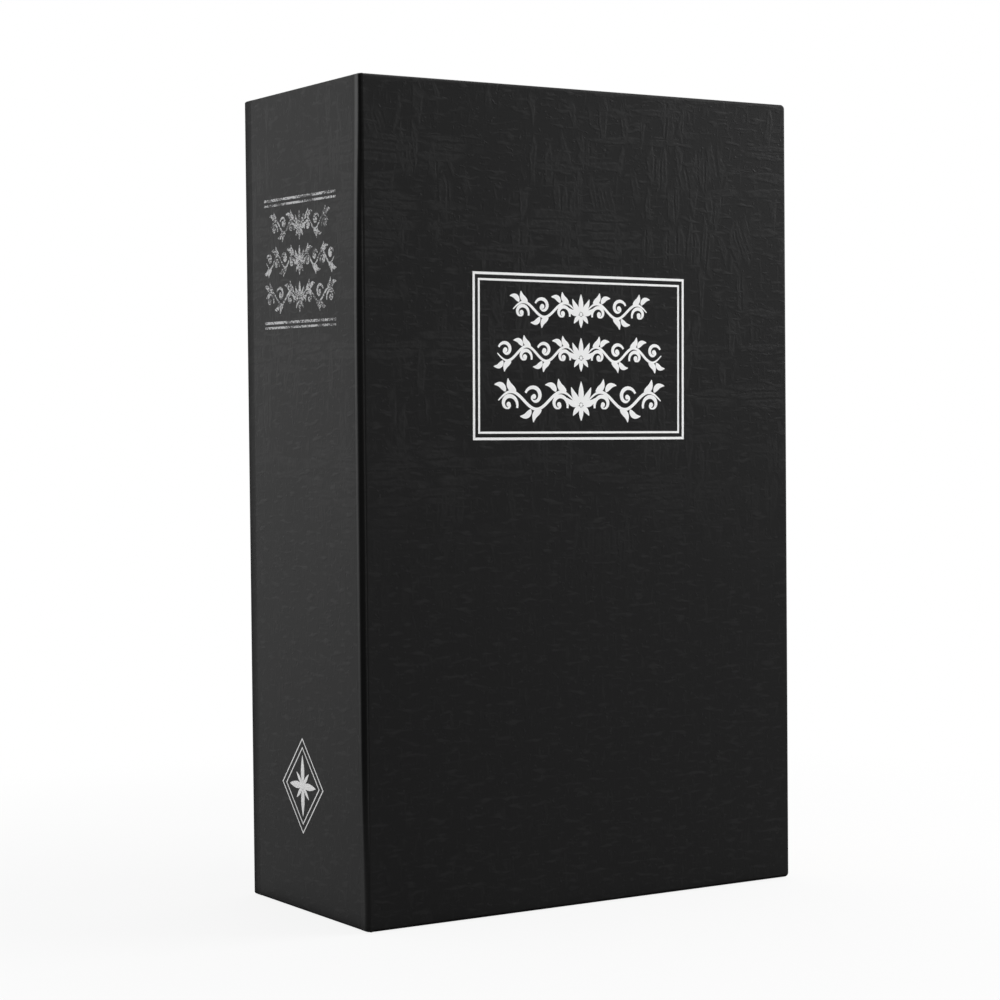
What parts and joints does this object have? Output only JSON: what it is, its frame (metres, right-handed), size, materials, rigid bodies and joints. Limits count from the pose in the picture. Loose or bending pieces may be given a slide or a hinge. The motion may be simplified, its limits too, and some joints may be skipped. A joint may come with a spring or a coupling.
{
  "type": "book diversion safe",
  "caption": "Hardback-book-shaped box hiding a folded steel tray behind its hinged cover, with a piano-hinged door and a wafer cam lock.",
  "frame": {"origin": "middle of the foot of the closed, upright book, on the surface it stands on", "axes": "+X from the spine to the fore-edge, +Y from the front cover to the back cover, +Z from tail to head"},
  "size_m": [0.114, 0.0544, 0.182],
  "materials": {
    "cover_paper": "black embossed book paper, satin",
    "grey_board": "raw grey board",
    "lining_paper": "plain black endpaper, matt",
    "page_edges": "cream ribbed card, matt",
    "black_steel": "black powder coat, fine texture",
    "plated_steel": "zinc plated",
    "lock_nickel": "bright nickel plate",
    "wafer_brass": "stamped brass",
    "foam_tape": "white double-sided foam tape",
    "white_foil": "white stamping foil on the front cover",
    "silver_foil": "worn silver stamping foil on the spine"
  },
  "bodies": {
    "case": {"spine_wrap": "cover_paper", "spine_board": "grey_board", "spine_lining": "lining_paper", "front_joint": "cover_paper", "rear_joint": "cover_paper", "back_wrap": "cover_paper", "back_board": "grey_board", "back_lining": "lining_paper", "page_edge_head": "page_edges", "page_edge_tail": "page_edges", "page_edge_fore": "page_edges", "tray": "black_steel", "keeper": "plated_steel", "adhesive_back": "foam_tape", "adhesive_spine": "foam_tape", "hinge_frame_leaf": "black_steel", "hinge_pin": "plated_steel"},
    "front_cover": {"front_wrap": "cover_paper", "front_board": "grey_board", "front_lining": "lining_paper"},
    "door": {"door": "black_steel", "hinge_door_leaf": "black_steel", "lock_housing": "lock_nickel", "lock_washer": "plated_steel", "lock_nut": "lock_nickel"},
    "lock_core": {"lock_plug": "lock_nickel", "wafer_1": "wafer_brass", "wafer_2": "wafer_brass", "wafer_3": "wafer_brass", "wafer_4": "wafer_brass", "stop_disc": "plated_steel", "cam": "plated_steel", "cam_screw": "plated_steel"}
  },
  "joints": [
    {"name": "cover_hinge", "type": "hinge", "parent": "case", "child": "front_cover", "pos_m": [-0.05695, -0.02405, 0.091], "axis": [0, 0, -1], "range_deg": [0, 180], "deforming": ["front_joint"]},
    {"name": "door_hinge", "type": "hinge", "parent": "case", "child": "door", "pos_m": [-0.0452, -0.02215, 0.091], "axis": [0, 0, -1], "range_deg": [0, 108]},
    {"name": "lock_turn", "type": "hinge", "parent": "door", "child": "lock_core", "pos_m": [0.0266, -0.015, 0.091], "axis": [0, -1, 0], "range_deg": [0, 90]}
  ],
  "couplings": [
    {"joint": "door_hinge", "follows": "cover_hinge", "ratio": 0.6}
  ]
}
